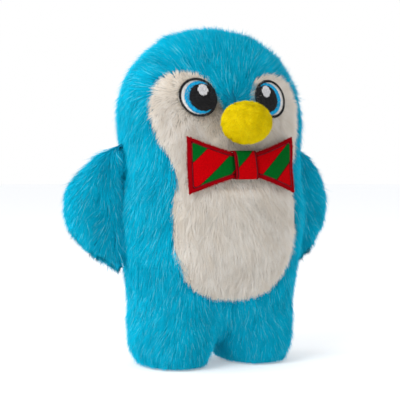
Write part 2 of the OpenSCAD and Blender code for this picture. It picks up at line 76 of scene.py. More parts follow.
def makeCamera():
    data = bpy.data.cameras.new("camera")
    data.sensor_width = studio["sensor"]
    data.lens = studio["sensor"] * studio["distance"] / studio["frameWidth"]
    data.clip_start = 0.01
    cam = sceneObject("camera", data)
    turn, rise = math.radians(studio["azimuth"]), math.radians(studio["elevation"])
    back = Vector((math.sin(turn) * math.cos(rise), -math.cos(turn) * math.cos(rise), math.sin(rise)))
    aim = Vector(studio["aim"]) + Vector((0, seamY, 0))
    cam.location = aim + back * studio["distance"]
    cam.rotation_mode = "QUATERNION"
    cam.rotation_quaternion = (-back).to_track_quat("-Z", "Y")
    bpy.context.scene.camera = cam


def makeLamp(name, place, size, power):
    data = bpy.data.lights.new(name, "AREA")
    data.shape = "DISK"
    data.size = size
    data.energy = power
    lamp = sceneObject(name, data)
    lamp.location = place
    lamp.rotation_mode = "QUATERNION"
    lamp.rotation_quaternion = (Vector((0, 0, 0.12)) - Vector(place)).to_track_quat("-Z", "Y")


def makeStage():
    makeCamera()
    for name in ("key", "fill", "rim"):
        makeLamp(name, studio[name + "Place"], studio[name + "Size"], studio[name + "Power"])
    world = bpy.data.worlds.new("studio")
    world.use_nodes = True
    nodes, links = world.node_tree.nodes, world.node_tree.links
    sky = nodes["Background"]
    sky.inputs["Color"].default_value = (*studio["sky"], 1)
    sky.inputs["Strength"].default_value = studio["skyStrength"]
    backdrop = nodes.new("ShaderNodeBackground")
    backdrop.inputs["Color"].default_value = (1, 1, 1, 1)
    seen = nodes.new("ShaderNodeLightPath")
    either = nodes.new("ShaderNodeMixShader")
    links.new(seen.outputs["Is Camera Ray"], either.inputs["Fac"])
    links.new(sky.outputs["Background"], either.inputs[1])
    links.new(backdrop.outputs["Background"], either.inputs[2])
    links.new(either.outputs["Shader"], nodes["World Output"].inputs["Surface"])
    bpy.context.scene.world = world
    bm = bmesh.new()
    bmesh.ops.create_circle(bm, cap_ends=True, segments=96, radius=6)
    bmesh.ops.translate(bm, verts=bm.verts, vec=(0, 0, floorZ))
    floor = meshObject("studioFloor", bm)
    material = bpy.data.materials.new("paleFloor")
    material.use_nodes = True
    shader = material.node_tree.nodes["Principled BSDF"]
    shader.inputs["Base Color"].default_value = (0.9, 0.9, 0.9, 1)
    shader.inputs["Roughness"].default_value = 0.9
    shader.inputs["Emission Color"].default_value = (1, 1, 1, 1)
    shader.inputs["Emission Strength"].default_value = studio["floorGlow"]
    floor.data.materials.append(material)
    scene = bpy.context.scene
    scene.view_settings.view_transform = "Standard"
    scene.view_settings.look = "None"


# shared helpers

def sceneObject(name, data):
    obj = bpy.data.objects.new(name, data)
    bpy.context.scene.collection.objects.link(obj)
    return obj


def meshObject(name, bm):
    mesh = bpy.data.meshes.new(name)
    bm.to_mesh(mesh)
    bm.free()
    return sceneObject(name, mesh)


def opened(obj):  # an object's mesh to work on
    bm = bmesh.new()
    bm.from_mesh(obj.data)
    return bm


def joinedCopy(name, nodes):  # a new object with the merged meshes of CAD nodes
    bm = bmesh.new()
    for node in nodes:
        bm.from_mesh(frame["nodes"][node].data)
    bmesh.ops.remove_doubles(bm, verts=bm.verts, dist=1e-5)
    return meshObject(name, bm)


def bakeModifiers(obj):
    graph = bpy.context.evaluated_depsgraph_get()
    done = bpy.data.meshes.new_from_object(obj.evaluated_get(graph))
    obj.modifiers.clear()
    obj.data = done


def vertexArray(mesh, kind="co"):
    out = np.zeros(len(mesh.vertices) * 3, np.float32)
    if kind == "co":
        mesh.vertices.foreach_get("co", out)
    else:
        mesh.vertex_normals.foreach_get("vector", out)
    return out.reshape(-1, 3).astype(float)


def setVertices(mesh, co):
    mesh.vertices.foreach_set("co", co.astype(np.float32).ravel())
    mesh.update()


def smoothFaces(bm):
    for face in bm.faces:
        face.smooth = True


def facingForward(bm):  # turns an open sheet of faces so that its front looks along -Y
    bmesh.ops.recalc_face_normals(bm, faces=bm.faces)
    if sum(face.normal.y * face.calc_area() for face in bm.faces) > 0:
        bmesh.ops.reverse_faces(bm, faces=bm.faces)


def unit(v):
    return v / np.maximum(np.linalg.norm(v, axis=-1, keepdims=True), 1e-12)


def smoothStep(x, low, high):
    t = np.clip((x - low) / (high - low), 0, 1)
    return t * t * (3 - 2 * t)


def rising(least, x, low, high):  # from a least share up to 1
    return least + (1 - least) * smoothStep(x, low, high)


def nodeTree(node):
    bm = opened(frame["nodes"][node])
    tree = BVHTree.FromBMesh(bm)
    bm.free()
    return tree


def nearestNode(points, nodes):  # index of the nearest node for each point, and both nearest distances
    far = np.zeros((len(points), len(nodes)))
    for k, node in enumerate(nodes):
        tree = nodeTree(node)
        far[:, k] = [tree.find_nearest(p)[3] for p in points.tolist()]
    order = np.sort(far, axis=1)
    return far.argmin(1), order[:, 0], order[:, 1]


def ripple(points, scale, seed, waves=5):  # a smooth random field between about -1 and 1
    rng = np.random.default_rng(seed)
    field = np.zeros(len(points))
    for k in range(waves):
        way = rng.normal(size=3)
        way *= 2 * math.pi / scale * rng.uniform(0.6, 1.4) / np.linalg.norm(way)
        field += np.sin(points @ way + rng.uniform(0, 2 * math.pi))
    return field / math.sqrt(waves)


# materials

def newMaterial(name, roughness, sheen=0.0, sheenRoughness=0.5, sheenTint=(1, 1, 1)):
    material = bpy.data.materials.new(name)
    material.use_nodes = True
    shader = material.node_tree.nodes["Principled BSDF"]
    shader.inputs["Roughness"].default_value = roughness
    shader.inputs["Specular IOR Level"].default_value = 0.12
    shader.inputs["Sheen Weight"].default_value = sheen
    shader.inputs["Sheen Roughness"].default_value = sheenRoughness
    shader.inputs["Sheen Tint"].default_value = (*sheenTint, 1)
    return material, material.node_tree, shader


def ramped(tree, value, stops, steps="LINEAR"):  # a value's colour on a ramp
    ramp = tree.nodes.new("ShaderNodeValToRGB")
    band = ramp.color_ramp
    band.interpolation = steps
    for element, (place, colour) in zip(band.elements, (stops[0], stops[-1])):
        element.position = place
        element.color = (*colour, 1)
    for place, colour in stops[1:-1]:
        band.elements.new(place).color = (*colour, 1)
    tree.links.new(value, ramp.inputs["Fac"])
    return ramp.outputs["Color"]


def mixed(tree, a, b, factor=None, blend="MIX"):  # two colours mixed, the whole way with no factor
    mix = tree.nodes.new("ShaderNodeMix")
    mix.data_type = "RGBA"
    mix.blend_type = blend
    tree.links.new(a, mix.inputs["A"])
    if isinstance(b, tuple):
        mix.inputs["B"].default_value = (*b, 1)
    else:
        tree.links.new(b, mix.inputs["B"])
    if factor is None:
        mix.inputs["Factor"].default_value = 1
    else:
        tree.links.new(factor, mix.inputs["Factor"])
    return mix.outputs["Result"]


def strandColour(tree):  # the strand attribute's three channels
    strand = tree.nodes.new("ShaderNodeAttribute")
    strand.attribute_name = "strand"
    split = tree.nodes.new("ShaderNodeSeparateColor")
    tree.links.new(strand.outputs["Color"], split.inputs["Color"])
    return split.outputs


def noisy(tree, place, scale, detail):
    noise = tree.nodes.new("ShaderNodeTexNoise")
    noise.inputs["Scale"].default_value = scale
    noise.inputs["Detail"].default_value = detail
    tree.links.new(place.outputs["Object"], noise.inputs["Vector"])
    return noise.outputs["Fac"]


def roughened(tree, shader, height, strength, distance):
    rough = tree.nodes.new("ShaderNodeBump")
    rough.inputs["Strength"].default_value = strength
    rough.inputs["Distance"].default_value = distance
    tree.links.new(height, rough.inputs["Height"])
    tree.links.new(rough.outputs["Normal"], shader.inputs["Normal"])


def furMaterial(name, look):  # strand attribute: along the lock, with painted shade darkening it towards the root; its own tint, which picks the few locks that get a painted glint; its clump's painted shade
    material, tree, shader = newMaterial(name, 0.62, look["sheen"], 0.4, look["tip"])
    shader.inputs["Specular IOR Level"].default_value = 0.05
    strand = strandColour(tree)
    # painted shade: each lock is darkest at its root and lighter towards its tip
    along = ramped(tree, strand["Red"], [(0.0, look["root"]), (0.45, look["middle"]), (1.0, look["tip"])])
    # painted glint: the few locks whose own tint is above the threshold are lightened towards the glint colour
    pale = ramped(tree, strand["Green"], [(0.0, (0, 0, 0)), (look["paleFrom"], (0, 0, 0)), (1.0, (1, 1, 1))])
    withPaintedGlints = mixed(tree, along, look["pale"], pale)
    # painted shade over clumps: the clump field darkens the colour down to the dullest tint
    shade = ramped(tree, strand["Blue"], [(0.0, look["dullest"]), (1.0, (1.0, 1.0, 1.0))])
    tree.links.new(mixed(tree, withPaintedGlints, shade, blend="MULTIPLY"), shader.inputs["Base Color"])
    return material


def clothMaterial(name, dark, light, scale, bump):
    material, tree, shader = newMaterial(name, 0.85, 0.15, 0.5, light)
    noise = noisy(tree, tree.nodes.new("ShaderNodeTexCoord"), scale, 5)
    tree.links.new(ramped(tree, noise, [(0.3, dark), (0.7, light)]), shader.inputs["Base Color"])
    roughened(tree, shader, noise, bump, 0.4 * mm)
    return material


# Fur looks: each root colour is painted shade at the base of the locks; the lightest colour, given to a few locks, is
# a painted glint.
blueFurLook = {
    "root": (0.0, 0.18, 0.31), "middle": (0.0, 0.46, 0.70), "tip": (0.0, 0.62, 0.90),
    "pale": (0.20, 0.82, 0.98), "paleFrom": 0.9, "dullest": (0.62, 0.70, 0.74), "sheen": 0.06,
}
whiteFurLook = {
    "root": (0.66, 0.57, 0.47), "middle": (0.93, 0.85, 0.75), "tip": (1.0, 0.94, 0.85),
    "pale": (1.0, 0.98, 0.94), "paleFrom": 0.8, "dullest": (0.86, 0.82, 0.77), "sheen": 0.1,
}
plushLook = {
    "root": (0.62, 0.42, 0.0), "middle": (0.90, 0.66, 0.0), "tip": (1.0, 0.80, 0.0),
    "pale": (1.0, 0.88, 0.02), "paleFrom": 0.85, "dullest": (0.74, 0.70, 0.6), "sheen": 0.05,
}
threadLook = {
    "white": ((0.62, 0.60, 0.58), (0.86, 0.84, 0.81)), "black": ((0.004, 0.004, 0.005), (0.02, 0.02, 0.022)),
    "blue": ((0.0, 0.20, 0.42), (0.01, 0.42, 0.72)), "shine": ((0.42, 0.42, 0.43), (0.66, 0.65, 0.66)),
    "red": ((0.10, 0.0, 0.004), (0.20, 0.004, 0.012)),
}


def threadMaterial(name, dark, light):  # each thread has its own tint, with painted shade making it a little darker at its ends
    material, tree, shader = newMaterial(name, 0.42, 0.1, 0.4, light)
    tint = ramped(tree, strandColour(tree)["Green"], [(0.0, dark), (1.0, light)])
    tree.links.new(tint, shader.inputs["Base Color"])
    return material


threads = {name: threadMaterial(name + "Thread", *tints) for name, tints in threadLook.items()}
blueFur = furMaterial("blueFur", blueFurLook)
whiteFur = furMaterial("whiteFur", whiteFurLook)
yellowPlush = furMaterial("yellowPlush", plushLook)
# backing cloth under the pile: darker than the pile, as painted shade at the roots of the locks
shadedBlueBacking = clothMaterial("shadedBlueBacking", (0.0, 0.16, 0.27), (0.0, 0.25, 0.4), 900, 0.6)
shadedWhiteBacking = clothMaterial("shadedWhiteBacking", (0.42, 0.38, 0.32), (0.6, 0.56, 0.5), 900, 0.6)
shadedYellowBacking = clothMaterial("shadedYellowBacking", (0.6, 0.45, 0.0), (0.85, 0.68, 0.0), 900, 0.6)
fibreFill = clothMaterial("fibreFill", (0.72, 0.72, 0.7), (0.9, 0.9, 0.88), 260, 1.0)
print("materials made")

makeStage()


# stuffed skins

skin = {
    "voxel": 4.2 * mm, "depth": 4.2 * mm, "seamBand": 2.6 * mm, "pressure": 4.0, "frames": 20,
    "cap": 6 * mm, "clothThickness": 1.0 * mm,
}


def remeshed(obj, voxel):
    remesh = obj.modifiers.new("remesh", "REMESH")
    remesh.mode = "VOXEL"
    remesh.voxel_size = voxel
    bakeModifiers(obj)


def sunkIn(obj, depth, rounds=6):  # moves the surface inwards in small steps, less where the piece is thin
    co, normal = vertexArray(obj.data), vertexArray(obj.data, "normal")
    bm = opened(obj)
    tree = BVHTree.FromBMesh(bm)
    bm.free()
    start = (co - normal * 0.2 * mm).tolist()
    through = [tree.ray_cast(a, b)[3] or 1 for a, b in zip(start, (-normal).tolist())]
    depth = np.minimum(depth, 0.22 * np.array(through))[:, None]
    for k in range(rounds):
        setVertices(obj.data, vertexArray(obj.data) - vertexArray(obj.data, "normal") * depth / rounds)
        bm = opened(obj)
        bmesh.ops.smooth_vert(bm, verts=bm.verts, factor=0.5, use_axis_x=True, use_axis_y=True, use_axis_z=True)
        bm.to_mesh(obj.data)
        bm.free()


def puffed(obj, pinned, settings):  # air pressure swells the skin between its seams
    before = vertexArray(obj.data)
    group = obj.vertex_groups.new(name="seams")
    for k in np.flatnonzero(pinned > 0.01):
        group.add([int(k)], float(pinned[k]), "REPLACE")
    cloth = obj.modifiers.new("puff", "CLOTH")
    cloth.settings.quality = 6
    cloth.settings.use_pressure = True
    cloth.settings.uniform_pressure_force = settings["pressure"]
    cloth.settings.effector_weights.gravity = 0
    cloth.settings.vertex_group_mass = "seams"
    cloth.settings.tension_stiffness = 20
    cloth.settings.compression_stiffness = 20
    cloth.settings.bending_stiffness = 1.5
    cloth.point_cache.frame_start = 1
    cloth.point_cache.frame_end = settings["frames"]
    for step in range(1, settings["frames"] + 1):
        bpy.context.scene.frame_set(step)
    bakeModifiers(obj)
    bpy.context.scene.frame_set(1)
    move = vertexArray(obj.data) - before
    far = np.linalg.norm(move, axis=1, keepdims=True)
    move *= np.minimum(1, settings["cap"] / np.maximum(far, 1e-9))
    print(obj.name, "swelled", round(float(far.max() / mm), 2), "mm at most")
    setVertices(obj.data, before + move)


def regionPiece(name, source, region, wanted, material, body, node):  # a cloth shell over one part of a skin
    bm = opened(source)
    bm.faces.ensure_lookup_table()
    others = [bm.faces[k] for k in np.flatnonzero(region != wanted)]
    bmesh.ops.delete(bm, geom=others, context="FACES")
    smoothFaces(bm)
    piece = meshObject(name, bm)
    shell = piece.modifiers.new("shell", "SOLIDIFY")
    shell.thickness = skin["clothThickness"]
    shell.offset = -1
    bakeModifiers(piece)
    piece.data.materials.append(material)
    if body:
        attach(piece, body)
    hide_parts(node)
    return piece


torsoRegions = [
    "white_front_panel", "right_front_panel", "left_front_panel", "back_panel",
    "right_leg_cover", "left_leg_cover", "right_sole", "left_sole",
]


def makeTorsoSkin():
    inner = ["body_stuffing", "right_leg_stuffing", "left_leg_stuffing"]
    obj = joinedCopy("torsoSkin", torsoRegions + inner)
    remeshed(obj, skin["voxel"])
    which, near, second = nearestNode(vertexArray(obj.data), torsoRegions)
    sunkIn(obj, skin["depth"])
    co = vertexArray(obj.data)
    sole = which >= 6
    co[sole, 2] = 0.8 * mm
    setVertices(obj.data, co)
    pinned = 1 - smoothStep(second - near, 0.3 * skin["seamBand"], skin["seamBand"])
    pinned[sole] = 1
    puffed(obj, pinned, skin)
    return obj


torsoSkin = makeTorsoSkin()
print("torso skin made,", len(torsoSkin.data.vertices), "vertices")

flipperSkin = {
    "voxel": 2.6 * mm, "depth": 3.0 * mm, "seamBand": 2.4 * mm, "pressure": 4.0, "frames": 20,
    "cap": 4 * mm, "blendFrom": 1.0 * mm, "blendTo": 10.0 * mm,
    "rootReach": 14 * mm, "rootSink": 7 * mm, "rootLeast": 0.75, "fillingDepth": 4.8 * mm, "fillingShare": 0.82,
}


def makeFlipperSkin(side):
    covers = [side + "_flipper_front", side + "_flipper_back"]
    obj = joinedCopy(side + "FlipperSkin", covers + [side + "_flipper_stuffing"])
    remeshed(obj, flipperSkin["voxel"])
    near, second = nearestNode(vertexArray(obj.data), covers)[1:]
    sunkIn(obj, flipperSkin["depth"], rounds=3)
    pinned = 1 - smoothStep(second - near, 0.3 * flipperSkin["seamBand"], flipperSkin["seamBand"])
    hinge = joints[side + "_flipper_swing"]["pos_m"]
    pinned[np.abs(vertexArray(obj.data)[:, 0]) < abs(hinge[0]) + 3 * mm] = 1
    puffed(obj, pinned, flipperSkin)
    co = vertexArray(obj.data)
    nearRoot = 1 - smoothStep(np.abs(co[:, 0]), abs(hinge[0]), abs(hinge[0]) + flipperSkin["rootReach"])
    fromMiddle = np.abs(co[:, 2] - co[:, 2].mean()) / np.ptp(co[:, 2])
    share = rising(flipperSkin["rootLeast"], 0.5 - fromMiddle, 0.0, 0.2)
    co[:, 0] -= math.copysign(flipperSkin["rootSink"], hinge[0]) * nearRoot * share
    setVertices(obj.data, co)
    return obj


flipperSkins = {side: makeFlipperSkin(side) for side in ("right", "left")}
print("flipper skins made")


# pile

pile = {
    "perSquareMm": 3.7, "length": 14 * mm, "lengthSpread": 0.35, "width": 0.72 * mm, "thickness": 0.55 * mm,
    "tipHeight": 3.6 * mm, "tipSpread": 1.2 * mm, "rootDepth": 0.6 * mm, "softness": 0.6,
    "clumpSize": 8 * mm, "clumpPull": 1.6 * mm, "clumpLift": 0.7 * mm, "wave": 26 * mm, "waveTurn": 0.26,
    "lockTurn": 0.13, "flyaway": 0.03, "flyawayHeight": 3.5 * mm, "hug": 0.85, "shadeSpread": 1,
    "eyeLift": 1, "mostLocks": 45000,
}


def tuftShape():  # a closed three-sided lock along Z, one unit long, that tapers to a point
    bm = bmesh.new()
    bmesh.ops.create_cone(bm, cap_ends=True, segments=3, radius1=0.5, radius2=0, depth=1)
    bmesh.ops.translate(bm, verts=bm.verts, vec=(0, 0, 0.5))
    bmesh.ops.remove_doubles(bm, verts=bm.verts, dist=1e-4)
    bmesh.ops.recalc_face_normals(bm, faces=bm.faces)
    return shapeArrays(bm)


def shapeArrays(bm):
    bm.verts.index_update()
    points = np.array([v.co[:] for v in bm.verts])
    faces = [[v.index for v in f.verts] for f in bm.faces]
    bm.free()
    return points, faces


def stitchShape():  # a closed thread end to end along Z, one unit long and one across
    bm = bmesh.new()
    bmesh.ops.create_uvsphere(bm, u_segments=6, v_segments=4, radius=0.5)
    for vert in bm.verts:
        vert.co.z = math.copysign(abs(vert.co.z * 2) ** 0.6 / 2, vert.co.z) + 0.5
    bmesh.ops.recalc_face_normals(bm, faces=bm.faces)
    return shapeArrays(bm)


def aroundSpine(points, spine, axes):  # a shape's cross section laid out round each copy's own spine
    return spine + np.einsum("vk,nkc->nvc", points[:, :2], axes)


def repeated(name, shape, place, strand, normals=None):  # one mesh of many copies, from their placed points
    points, faces = shape
    count, size = place.shape[:2]
    mesh = bpy.data.meshes.new(name)
    corners = np.array([v for face in faces for v in face])
    starts = np.cumsum([0] + [len(face) for face in faces[:-1]])
    mesh.vertices.add(count * size)
    mesh.loops.add(count * len(corners))
    mesh.polygons.add(count * len(faces))
    step = np.arange(count)[:, None]
    mesh.vertices.foreach_set("co", place.astype(np.float32).ravel())
    mesh.loops.foreach_set("vertex_index", (corners[None] + step * size).astype(np.int32).ravel())
    mesh.polygons.foreach_set("loop_start", (starts[None] + step * len(corners)).astype(np.int32).ravel())
    mesh.polygons.foreach_set("use_smooth", np.ones(count * len(faces), bool))
    mesh.update(calc_edges=True)
    colour = mesh.attributes.new("strand", "FLOAT_COLOR", "POINT")
    colour.data.foreach_set("color", strand.astype(np.float32).ravel())
    grid = math.ceil(math.sqrt(count))
    around = (np.arctan2(points[:, 1], points[:, 0]) / (2 * math.pi) + 0.5) * 0.8 + 0.1
    along = (points[:, 2] - points[:, 2].min()) / np.ptp(points[:, 2]) * 0.8 + 0.1
    cellX, cellY = (np.arange(count) % grid)[:, None], (np.arange(count) // grid)[:, None]
    uv = np.stack([cellX + around[corners][None], cellY + along[corners][None]], axis=2) / grid
    mesh.uv_layers.new(name="OFBake").data.foreach_set("uv", uv.astype(np.float32).ravel())
    if normals is not None:
        mesh.normals_split_custom_set_from_vertices(normals.reshape(-1, 3).tolist())
    return sceneObject(name, mesh)


class Surface:  # a closed skin that points can be dropped on
    def __init__(self, source):
        bm = opened(source)
        bmesh.ops.triangulate(bm, faces=bm.faces)
        self.tree = BVHTree.FromBMesh(bm)
        bm.normal_update()
        self.points = np.array([v.co[:] for v in bm.verts])
        self.normals = np.array([v.normal[:] for v in bm.verts])
        self.faces = np.array([[v.index for v in f.verts] for f in bm.faces])
        bm.free()

    def drop(self, points):  # the nearest points on the skin, and its smooth normals there
        hits = [self.tree.find_nearest(p)[:3:2] for p in points.tolist()]
        place = np.array([h[0] for h in hits])
        corner = self.faces[[h[1] for h in hits]]
        gap = np.linalg.norm(self.points[corner] - place[:, None], axis=2) + 1e-6
        weight = 1 / gap
        normal = (self.normals[corner] * weight[:, :, None]).sum(1)
        return place, unit(normal)


def scattered(corner, perSquareMm, rng):  # random points over triangles, evenly by area, and their triangles
    area = np.linalg.norm(np.cross(corner[:, 1] - corner[:, 0], corner[:, 2] - corner[:, 0]), axis=1) / 2
    count = int(area.sum() * 1e6 * perSquareMm)
    pick = rng.choice(len(area), count, p=area / area.sum())
    u, v = rng.random((2, count))
    flip = u + v > 1
    u[flip], v[flip] = 1 - u[flip], 1 - v[flip]
    first, second = corner[pick, 1] - corner[pick, 0], corner[pick, 2] - corner[pick, 0]
    return corner[pick, 0] + u[:, None] * first + v[:, None] * second, pick


def ownedSamples(surface, nodes, perSquareMm, seed):  # for each CAD node, points over the skin nearest to it
    points, pick = scattered(surface.points[surface.faces], perSquareMm, np.random.default_rng(seed))
    corner = nearestNode(surface.points, nodes)[0][surface.faces[pick]]
    owner = corner[:, 0]
    seam = (corner != owner[:, None]).any(1)
    owner[seam] = nearestNode(points[seam], nodes)[0]
    return {node: points[owner == k] for k, node in enumerate(nodes)}


def makePile(name, points, surface, flow, trim, material, body, seed, look):
    rng = np.random.default_rng(seed)
    root, normal = surface.drop(points)
    short = trim(root)
    kept = short > 0.05
    root, normal, short = root[kept], normal[kept], short[kept]
    count = len(root)
    way = flow(root)
    way = unit(way - normal * (way * normal).sum(1, keepdims=True))
    side = np.cross(normal, way)
    turn = look["waveTurn"] * ripple(root, look["wave"], seed + 1) + look["lockTurn"] * rng.normal(size=count)
    turn += 0.2 * ripple(root, look["clumpSize"] * 1.6, seed + 2)
    way = way * np.cos(turn)[:, None] + side * np.sin(turn)[:, None]
    side = np.cross(normal, way)
    length = look["length"] * short * (1 + look["lengthSpread"] * rng.uniform(-1, 1, count))
    pull = look["clumpPull"] * ripple(root, look["clumpSize"], seed + 3) * np.sqrt(short)
    lift = np.maximum(short, 0.5) * (look["tipHeight"] + look["tipSpread"] * rng.normal(size=count))
    lift += eyeLift(root) * look["eyeLift"]
    lift += (rng.random(count) < look["flyaway"]) * look["flyawayHeight"] * rng.random(count)
    lift = np.maximum(lift + look["clumpLift"] * ripple(root, look["clumpSize"], seed + 4), 0.3 * mm)
    straight = root + way * length[:, None] + side * pull[:, None]
    tip, tipNormal = surface.drop(straight)
    tip = look["hug"] * tip + (1 - look["hug"]) * straight + tipNormal * lift[:, None]
    shape, faces = tuftShape()
    atTip = shape[:, 2] > 0.5
    spine = np.stack([root - normal * look["rootDepth"], tip], axis=1)
    width = look["width"] * rng.uniform(0.7, 1.3, count) * (0.6 + 0.4 * short)
    axes = np.stack([side * width[:, None], normal * look["thickness"]], axis=1)
    place = aroundSpine(shape, spine[:, atTip.astype(int)], axes)
    place[:, :, 2] = np.maximum(place[:, :, 2], floorZ + 0.3 * mm)
    outward = unit(aroundSpine(shape * ~atTip[:, None], tipNormal[:, None] * 1e-6, axes))
    normals = unit(look["softness"] * normal[:, None] + (1 - look["softness"]) * outward)
    # painted shade: a smooth field darkens the locks clump by clump
    shade = 0.25 * ripple(root, look["clumpSize"], seed + 5) + 0.2 * ripple(root, look["wave"], seed + 6)
    shade = 0.6 + look["shadeSpread"] * shade
    strand = np.ones((count, len(shape), 4))
    strand[:, :, 0] = atTip
    strand[:, :, 1] = rng.random(count)[:, None]
    strand[:, :, 2] = np.clip(shade + 0.12 * rng.normal(size=count), 0, 1)[:, None]
    print(name, count, "locks")
    bands = math.ceil(count / look["mostLocks"])
    heights = np.argsort(np.argsort(root[:, 2])) * bands // count
    made = []
    for band in range(bands):
        within = heights == band
        piece = name + (str(band + 1) if bands > 1 else "")
        obj = repeated(piece, (shape, faces), place[within], strand[within], normals[within])
        obj.data.materials.append(material)
        if body:
            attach(obj, body)
        made.append(obj)
    return made


beakBox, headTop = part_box("beak_cover"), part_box("back_panel")[1].z
beakZ = (beakBox[0].z + beakBox[1].z) / 2
eyeBoxes = {side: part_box(side + "_eye_outline") for side in ("right", "left")}
eyeMid = {side: (low + high) / 2 for side, (low, high) in eyeBoxes.items()}
eyeRadius = (eyeBoxes["left"][1].z - eyeBoxes["left"][0].z) / 2
bowLow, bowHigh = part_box("bow_right_backing")[0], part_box("bow_left_backing")[1]
bowMid = (bowLow.z + bowHigh.z) / 2


comb = {
    "frontFrom": 2 * mm, "frontTo": 22 * mm, "faceBelow": 4 * mm, "faceAbove": 40 * mm,
    "crownFrom": 50 * mm, "crownTo": 10 * mm, "spread": 0.0045, "away": 1.1, "crownBack": 1.2, "highBack": 0.35,
    "flipperFrom": 4 * mm, "flipperTo": 16 * mm, "flipperOut": 0.75, "flipperIn": 0.25, "flipperBack": 0.25,
}
trimmed = {
    "face": 10 * mm, "eye": 0.36, "eyeReach": 14 * mm, "eyeBare": 2.5 * mm, "eyeLift": 2.6 * mm, "liftFrom": 2 * mm,
    "beak": 0.4, "beakFrom": 14 * mm, "beakTo": 26 * mm, "beakBare": 12 * mm,
    "bow": 0.35, "bowSide": 3 * mm, "bowBottom": 6 * mm, "bowTop": 1 * mm,
    "seam": 0.42, "seamFrom": 1 * mm, "seamTo": 14 * mm,
}


def bodyFlow(root):  # the way the pile is combed: back over the crown, down everywhere else
    forward = seamY - root[:, 1]
    front = smoothStep(forward, comb["frontFrom"], comb["frontTo"])
    high = smoothStep(root[:, 2], beakZ - comb["faceBelow"], beakZ + comb["faceAbove"])
    crown = smoothStep(root[:, 2], headTop - comb["crownFrom"], headTop - comb["crownTo"])
    down = np.stack([comb["spread"] * root[:, 0] / mm, np.zeros(len(root)), -np.ones(len(root))], axis=1)
    away = unit(np.stack([root[:, 0], np.zeros(len(root)), root[:, 2] - beakZ], axis=1))
    face = (high * front)[:, None]
    back = comb["crownBack"] * crown * smoothStep(forward, -20 * mm, 10 * mm) + comb["highBack"] * high
    return down * (1 - face) + comb["away"] * away * face + np.array([0.0, 1.0, 0.0]) * back[:, None]


def onFace(root):
    return root[:, 1] < seamY - trimmed["face"]


def eyeDistance(root):  # from the nearer eye's middle, in the plane of the face
    far = [np.hypot(root[:, 0] - mid.x, root[:, 2] - mid.z) for mid in eyeMid.values()]
    return np.where(onFace(root), np.minimum(*far), 1)


def bodyTrim(root):  # share of the full pile length, shorter round the eyes, the beak and under the bow tie
    eye = eyeDistance(root)
    share = rising(trimmed["eye"], eye, eyeRadius, eyeRadius + trimmed["eyeReach"])
    share[eye < eyeRadius - trimmed["eyeBare"]] = 0
    front = onFace(root)
    beak = np.hypot(root[:, 0], root[:, 2] - beakZ)
    share *= np.where(front, rising(trimmed["beak"], beak, trimmed["beakFrom"], trimmed["beakTo"]), 1)
    share[front & (beak < trimmed["beakBare"])] = 0
    inBow = front & (np.abs(root[:, 0]) < bowHigh.x - trimmed["bowSide"])
    inBow &= (root[:, 2] > bowLow.z + trimmed["bowBottom"]) & (root[:, 2] < bowHigh.z - trimmed["bowTop"])
    return np.where(inBow, np.minimum(share, trimmed["bow"]), share)


def whiteTrim(root):  # the white pile is also shorter along its seam with the blue
    edge = nearestNode(root, ["right_front_panel", "left_front_panel"])[1]
    return bodyTrim(root) * rising(trimmed["seam"], edge, trimmed["seamFrom"], trimmed["seamTo"])


def fullLength(root):
    return np.ones(len(root))


def eyeLift(root):  # extra height that the pile keeps round the eyes
    near = eyeRadius + trimmed["liftFrom"], eyeRadius + trimmed["eyeReach"]
    return trimmed["eyeLift"] * (1 - smoothStep(eyeDistance(root), *near))


def flipperFlow(root):  # down the body's side at the root, then outwards and down along the flipper
    hinge = abs(joints["left_flipper_swing"]["pos_m"][0])
    along = smoothStep(np.abs(root[:, 0]), hinge - comb["flipperFrom"], hinge + comb["flipperTo"])
    spread = (comb["flipperOut"] * along - comb["flipperIn"]) * np.sign(root[:, 0])
    return np.stack([spread, np.full(len(root), comb["flipperBack"]), -np.ones(len(root))], axis=1)


blueLook = pile
whiteLook = {**pile, "length": 12 * mm, "clumpPull": 1.8 * mm}
legLook = {**pile, "length": 12.5 * mm}
flipperLook = {**pile, "length": 12 * mm, "tipHeight": 2.8 * mm, "rootDepth": 0.4 * mm}
torsoSurface = Surface(torsoSkin)


def faceRegions(source, nodes):
    bm = opened(source)
    centres = np.array([f.calc_center_median()[:] for f in bm.faces])
    bm.free()
    return nearestNode(centres, nodes)[0]


torsoNames = [
    "whiteFrontBacking", "rightFrontBacking", "leftFrontBacking", "backBacking",
    "rightLegBacking", "leftLegBacking", "rightSoleCloth", "leftSoleCloth",
]
torsoRegion = faceRegions(torsoSkin, torsoRegions)
for k, (name, node) in enumerate(zip(torsoNames, torsoRegions)):
    isWhite = node == "white_front_panel"
    piece = regionPiece(name, torsoSkin, torsoRegion, k, shadedWhiteBacking if isWhite else shadedBlueBacking, "torso", node)
bpy.data.objects.remove(torsoSkin)
print("torso backing made")

torsoPoints = ownedSamples(torsoSurface, torsoRegions, pile["perSquareMm"], 7)
for name, node, seed, look in (
        ("whiteFrontPile", "white_front_panel", 11, whiteLook),
        ("rightFrontPile", "right_front_panel", 21, blueLook), ("leftFrontPile", "left_front_panel", 31, blueLook),
        ("backPile", "back_panel", 41, blueLook), ("rightLegPile", "right_leg_cover", 51, legLook),
        ("leftLegPile", "left_leg_cover", 61, legLook)):
    isWhite = node == "white_front_panel"
    trim, fur, slot = (whiteTrim, whiteFur, "white_fur") if isWhite else (bodyTrim, blueFur, "blue_fur")
    makePile(name, torsoPoints[node], torsoSurface, bodyFlow, trim, fur, "torso", seed, look)

